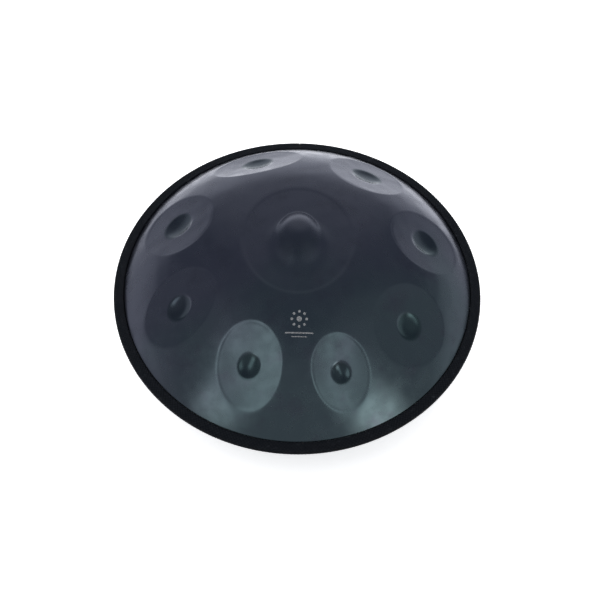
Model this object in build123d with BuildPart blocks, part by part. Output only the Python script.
from build123d import *
import os
from math import atan2, cos, degrees, hypot, radians, sin, sqrt

# Handpan: two thin steel shells bonded together at flat flanges, with a braided band folded
# over the rim. The upper shell carries the ding and eight tone fields; the lower shell has
# the round port that it rests on. The origin is the centre of the resting circle, +Z is up
# and -Y is the side where the two smallest fields are. All sizes are in millimetres.

# --- driving dimensions ---
STEEL = 1.2             # sheet thickness of both shells
RIM_Z = 113.0           # height of the bond line between the flanges
GLUE = 0.4              # thickness of the bond line
FLANGE_R = 265.0        # outer radius of both flanges
DOME_FOOT_R = 255.5     # radius at which each dome curve comes down to the bond line
FOOT_FILLET = 2.0       # radius between a dome and its flange
GLUE_MARGIN = 0.5       # how far the bond line stays back from the flanges' edges

TOP_RISE = 110.0        # the upper dome's apex above the bond line
TOP_POWER = 2.62        # how square-shouldered the upper dome is
LOWER_POWER = 2.2       # the same for the lower dome

PORT_R = 50.0           # bore of the port's neck
PORT_ROLL = 8.0         # radius rolled from the resting land into the neck
NECK_LENGTH = 22.0      # straight part of the neck
LAND_R = 66.0           # outer radius of the flat land around the port

DING_SEMI_X = 31.0      # the ding's bump
DING_SEMI_Y = 42.0
DING_HEIGHT = 17.0
DING_FIELD_X = 76.0     # the tone field around it
DING_FIELD_Y = 88.0
DING_BALL = 0.6         # depth of its ellipsoid's centre under its outline / half-height
DIMPLE_DEPTH = 6.0      # hollow in the middle of each outer tone field
DIMPLE_BALL = 0.6       # the same for a dimple, whose ellipsoid's centre is above it

BAND_OUTER_R = 268.0    # braided band folded over the rim
BAND_INNER_R = 255.6
BAND_HALF_HEIGHT = 4.5
BAND_EDGE_FILLET = 4.0  # outer, folded edge
BAND_LIP_FILLET = 1.0   # inner, cut edges
TAPE = 0.3              # adhesive tape between the band and the flanges
TAPE_INNER_R = 257.0
BUTT_GAP = 0.5          # where the band's two ends meet, at the back
BUTT_CUTTER = 50.0      # length and height of the block that cuts the gap

THREAD_R = 0.45         # stitches that close the butt joint
STITCH_SPAN = 6.0
STITCH_LEG = 1.6
STITCH_RADII = (258.2, 260.8, 263.4)
STITCH_PLAY = 0.02      # clearance of the stitch holes around the thread

# Outer tone fields: azimuth (degrees from +X), radius from the axis, half-lengths of the
# field down the slope and around it, turn of the field about its own normal (degrees),
# half-lengths of the dimple down the slope and around it.
TONE_FIELDS = (
    (250.5, 184.0, 58.0, 42.0, 11.0, 20.0, 16.0),
    (288.0, 189.0, 51.0, 37.0, -1.0, 17.0, 13.5),
    (208.5, 182.0, 62.0, 46.0, 5.0, 23.0, 18.5),
    (163.5, 182.0, 62.0, 55.0, -13.0, 28.0, 25.0),
    (110.0, 187.5, 51.0, 67.0, -9.0, 27.0, 26.0),
    (56.0, 185.0, 60.0, 57.5, -6.0, 27.0, 25.5),
    (9.0, 185.5, 61.0, 52.0, 1.0, 28.0, 23.0),
    (324.5, 187.0, 56.0, 55.0, 20.0, 22.0, 20.0),
)

CURVE_POINTS = 10       # points along each dome curve
BIG = 1500.0            # length of the bodies that the tone fields are shaped with
CUTTER_REACH = 25.0     # how far a tone field's cutter reaches above and below the dome
CUTTER_SPREAD = 1.12    # its outline against the tone field's
VOID_DEPTH = 5.0        # how far the upper shell's hollow is carried below its flange

FLANGE_HALF = GLUE / 2 + STEEL      # from the bond line to a flange's outer face
TAPE_HALF = FLANGE_HALF + TAPE


class Dome:
    """Outer surface of one shell, as height above the bond line against radius."""

    def __init__(self, rise, flat_r, power):
        self.rise = rise
        self.flat_r = flat_r
        self.power = power
        self.reach = DOME_FOOT_R - flat_r

    def height(self, r):
        return self.rise * (1 - ((r - self.flat_r) / self.reach) ** self.power)

    def slope(self, r):
        u = (r - self.flat_r) / self.reach
        return self.rise * self.power / self.reach * u ** (self.power - 1)

    def normal(self, r):
        """Unit outward normal: radial part, upward part."""
        length = hypot(self.slope(r), 1)
        return self.slope(r) / length, 1 / length

    def bend(self, r):
        """Curvature down the slope and around the axis."""
        length = hypot(self.slope(r), 1)
        down = self.slope(r) * (self.power - 1) / (r - self.flat_r) / length**3
        around = self.slope(r) / r / length
        return down, around

    def foot(self):
        """Radius where the foot fillet touches the dome, found by halving."""
        low, high = DOME_FOOT_R / 2, DOME_FOOT_R
        target = FLANGE_HALF + FOOT_FILLET
        for _ in range(50):
            middle = (low + high) / 2
            if self.height(middle) + FOOT_FILLET * self.normal(middle)[1] > target:
                low = middle
            else:
                high = middle
        return low

    def fillet_centre(self):
        foot = self.foot()
        out, up = self.normal(foot)
        return foot + FOOT_FILLET * out, self.height(foot) + FOOT_FILLET * up


TOP_DOME = Dome(TOP_RISE, 0.0, TOP_POWER)
LOWER_DOME = Dome(RIM_Z, LAND_R, LOWER_POWER)


def dome_lines(dome, inset, side):
    """Draw a shell's curve and foot fillet; inset is 0 outside and STEEL inside the sheet,
    side is 1 for the upper shell and -1 for the lower."""
    foot = dome.foot()
    points = []
    for step in range(CURVE_POINTS + 1):
        r = dome.flat_r + (foot - dome.flat_r) * step / CURVE_POINTS
        out, up = dome.normal(r)
        points.append((r - inset * out, RIM_Z + side * (dome.height(r) - inset * up)))
    out, up = dome.normal(foot)
    curve = Spline(*points, tangents=[(1, 0), (up, -side * out)])
    centre_r, centre_height = dome.fillet_centre()
    start = degrees(atan2(-side * up, -out))
    arc = CenterArc(
        (centre_r, RIM_Z + side * centre_height),
        FOOT_FILLET + inset,
        start,
        -90 * side - start,
    )
    return curve, arc


def dome_plane(azimuth, r, turn=0.0):
    """Plane on the upper dome: z outwards, x around the rim, y up the slope, turned about z."""
    out, up = TOP_DOME.normal(r)
    c, s = cos(radians(azimuth)), sin(radians(azimuth))
    rim_dir = Vector(-s, c, 0)
    slope_dir = Vector(-up * c, -up * s, out)
    return Plane(
        origin=(r * c, r * s, RIM_Z + TOP_DOME.height(r)),
        x_dir=rim_dir * cos(radians(turn)) + slope_dir * sin(radians(turn)),
        z_dir=(out * c, out * s, up),
    )


def field_cylinder(r, down_half, around_half, turn):
    """Depth, radius and direction of the cylinder that cuts the upper dome in a tone field.

    Near the field the dome falls away as a quadratic. Taking away twice the depth times the
    ellipse's own quadratic leaves the field's, and the smallest depth at which that bends one
    way only makes it a cylinder. The direction is an angle from the dome plane's x axis.
    """
    bend_down, bend_around = TOP_DOME.bend(r)
    c, s = cos(radians(turn)), sin(radians(turn))
    down = (c / down_half) ** 2 + (s / around_half) ** 2
    around = (s / down_half) ** 2 + (c / around_half) ** 2
    mixed = c * s * (1 / down_half**2 - 1 / around_half**2)
    square = down * around - mixed**2
    linear = bend_down * around + bend_around * down
    twice_depth = (linear - sqrt(linear**2 - 4 * square * bend_down * bend_around)) / (2 * square)
    left_down = bend_down - twice_depth * down
    left_around = bend_around - twice_depth * around
    left_mixed = -twice_depth * mixed
    if left_down > left_around:
        direction = atan2(left_mixed, left_down)
    else:
        direction = atan2(-left_around, -left_mixed)
    return twice_depth / 2, 1 / (left_down + left_around), degrees(direction)


def tone_field_cutters(inset):
    """Bodies that lie above each outer tone field and flatten the dome down to it."""
    cutters = []
    for azimuth, r, down_half, around_half, turn, _, _ in TONE_FIELDS:
        depth, radius, direction = field_cylinder(r, down_half, around_half, turn)
        bent = dome_plane(azimuth, r, direction)
        with BuildPart() as cutter:
            with BuildSketch(dome_plane(azimuth, r, turn).offset(-CUTTER_REACH)):
                Ellipse(CUTTER_SPREAD * around_half, CUTTER_SPREAD * down_half)
            extrude(amount=2 * CUTTER_REACH)
            with Locations(bent.offset(-depth - radius)):
                Cylinder(radius - inset, BIG, rotation=(0, 90, 0), mode=Mode.SUBTRACT)
        cutters.append(cutter.part)
    return cutters


def shape_ding_field(inset):
    """Flatten the apex of the current part to the central tone field."""
    depth = TOP_RISE - TOP_DOME.height(DING_FIELD_X)
    sag = TOP_RISE - TOP_DOME.height(DING_FIELD_Y) - depth
    radius = DING_FIELD_Y**2 / (2 * sag)
    with Locations((0, 0, RIM_Z + TOP_RISE - depth - radius)):
        Cylinder(radius - inset, BIG, rotation=(0, 90, 0), mode=Mode.INTERSECT)


def cap_axes(x_half, y_half, height, ball):
    """Half-axes of an ellipsoid whose cap of that height has that outline; its centre is
    beyond the outline by the share ball of its own half-height."""
    spread = 1 / sqrt(1 - ball**2)
    return x_half * spread, y_half * spread, height / (1 - ball)


def ellipsoid(axes):
    with BuildPart() as solid:
        Sphere(1)
        scale(by=axes)
    return solid.part


def dimples(inset):
    """Bodies that press the hollows into the outer tone fields, each with its centre plane."""
    pressed = []
    for azimuth, r, down_half, around_half, turn, dimple_down, dimple_around in TONE_FIELDS:
        depth = field_cylinder(r, down_half, around_half, turn)[0]
        axes = cap_axes(dimple_around, dimple_down, DIMPLE_DEPTH, DIMPLE_BALL)
        body = ellipsoid(tuple(a + inset for a in axes))
        pressed.append((dome_plane(azimuth, r).offset(DIMPLE_BALL * axes[2] - depth), body))
    return pressed


def pressed_dome(inset):
    """Solid under the upper shell's outer (inset 0) or inner (inset STEEL) surface."""
    floor_z = RIM_Z + GLUE / 2 - (VOID_DEPTH if inset else 0)
    cutters = tone_field_cutters(inset)
    hollows = dimples(inset)
    ding_axes = cap_axes(DING_SEMI_X, DING_SEMI_Y, DING_HEIGHT, DING_BALL)
    bump = ellipsoid(tuple(a - inset for a in ding_axes))
    bump_z = RIM_Z + TOP_DOME.height(DING_FIELD_X) - DING_BALL * ding_axes[2]
    with BuildPart() as solid:
        with BuildSketch(Plane.XZ):
            with BuildLine():
                curve, arc = dome_lines(TOP_DOME, inset, 1)
                end = arc @ 1
                flange = [(FLANGE_R, end.Y), (FLANGE_R, floor_z)]
                Polyline(end, *([(end.X, floor_z)] if inset else flange), (0, floor_z), curve @ 0)
            make_face()
        revolve(axis=Axis.Z)
        shape_ding_field(inset)
        add(cutters, mode=Mode.SUBTRACT)
        for plane, hollow in hollows:
            with Locations(plane):
                add(hollow, mode=Mode.SUBTRACT)
        with Locations((0, 0, bump_z)):
            add(bump)
    return solid.part


# --- shells ---
with BuildPart() as top_shell:
    add(pressed_dome(0))
    add(pressed_dome(STEEL), mode=Mode.SUBTRACT)
top_shell.part.label = "top_shell"

with BuildPart() as bottom_shell:
    neck_top = PORT_ROLL + NECK_LENGTH
    roll_r = PORT_R + PORT_ROLL
    with BuildSketch(Plane.XZ):
        with BuildLine():
            outer_curve, outer_arc = dome_lines(LOWER_DOME, 0, -1)
            inner_curve, inner_arc = dome_lines(LOWER_DOME, STEEL, -1)
            Polyline(
                outer_arc @ 1,
                (FLANGE_R, RIM_Z - FLANGE_HALF),
                (FLANGE_R, RIM_Z - GLUE / 2),
                inner_arc @ 1,
            )
            Line(outer_curve @ 0, (roll_r, 0))
            Line(inner_curve @ 0, (roll_r, STEEL))
            RadiusArc((roll_r, 0), (PORT_R, PORT_ROLL), PORT_ROLL)
            RadiusArc((roll_r, STEEL), (PORT_R + STEEL, PORT_ROLL), PORT_ROLL - STEEL)
            Polyline(
                (PORT_R, PORT_ROLL),
                (PORT_R, neck_top),
                (PORT_R + STEEL, neck_top),
                (PORT_R + STEEL, PORT_ROLL),
            )
        make_face()
    revolve(axis=Axis.Z)
bottom_shell.part.label = "bottom_shell"

# --- bond line between the flanges ---
with BuildPart() as flange_adhesive:
    with BuildSketch(Plane.XY.offset(RIM_Z - GLUE / 2)):
        Circle(FLANGE_R - GLUE_MARGIN)
        Circle(TOP_DOME.fillet_centre()[0] + GLUE_MARGIN, mode=Mode.SUBTRACT)
    extrude(amount=GLUE)
flange_adhesive.part.label = "flange_adhesive"


def channel(inner_r, outer_r, half_height, slot_r, slot_half):
    """Draw the section of a channel around the rim, open towards the axis."""
    with Locations(((inner_r + outer_r) / 2, RIM_Z)):
        Rectangle(outer_r - inner_r, 2 * half_height)
    with Locations(((inner_r + slot_r) / 2, RIM_Z)):
        Rectangle(slot_r - inner_r, 2 * slot_half, mode=Mode.SUBTRACT)


# --- tape and band around the rim ---
with BuildPart() as band_tape:
    with BuildSketch(Plane.XZ):
        channel(TAPE_INNER_R, FLANGE_R + TAPE, TAPE_HALF, FLANGE_R, FLANGE_HALF)
    revolve(axis=Axis.Z)
band_tape.part.label = "band_tape"


def stitch_path(r, side):
    """Draw one stitch on the band's upper (side 1) or lower (-1) face at the butt joint."""
    half_span = STITCH_SPAN / 2
    face_z = RIM_Z + side * BAND_HALF_HEIGHT
    leg_z = face_z - side * STITCH_LEG
    return FilletPolyline(
        (-half_span, r, leg_z),
        (-half_span, r, face_z),
        (half_span, r, face_z),
        (half_span, r, leg_z),
        radius=2 * THREAD_R,
    )


def stitches(thread_r):
    """All the stitches of the butt joint, as one part with that thread radius."""
    with BuildPart() as thread:
        for side in (1, -1):
            for r in STITCH_RADII:
                with BuildLine() as path:
                    stitch_path(r, side)
                with BuildSketch(Plane(origin=path.line @ 0, z_dir=path.line % 0)):
                    Circle(thread_r)
                sweep(path=path.line)
    return thread.part


with BuildPart() as rim_band:
    with BuildSketch(Plane.XZ) as band_section:
        channel(BAND_INNER_R, BAND_OUTER_R, BAND_HALF_HEIGHT, FLANGE_R + TAPE, TAPE_HALF)
        corners = band_section.vertices().sort_by(Axis.X)
        fillet(corners[-2:], BAND_EDGE_FILLET)
        lips = band_section.vertices().group_by(Axis.X)[0].sort_by(Axis.Z)
        fillet([lips[0], lips[-1]], BAND_LIP_FILLET)
    revolve(axis=Axis.Z)
    with Locations((0, BAND_OUTER_R, RIM_Z)):
        Box(BUTT_GAP, BUTT_CUTTER, BUTT_CUTTER, mode=Mode.SUBTRACT)
    add(stitches(THREAD_R + STITCH_PLAY), mode=Mode.SUBTRACT)
rim_band.part.label = "rim_band"

with BuildPart() as band_stitches:
    add(stitches(THREAD_R))
band_stitches.part.label = "band_stitches"

# --- files ---
os.makedirs("parts", exist_ok=True)
export_step(top_shell.part, "parts/top_shell.step")
export_step(bottom_shell.part, "parts/bottom_shell.step")
export_step(flange_adhesive.part, "parts/flange_adhesive.step")
export_step(band_tape.part, "parts/band_tape.step")
export_step(rim_band.part, "parts/rim_band.step")
export_step(band_stitches.part, "parts/band_stitches.step")
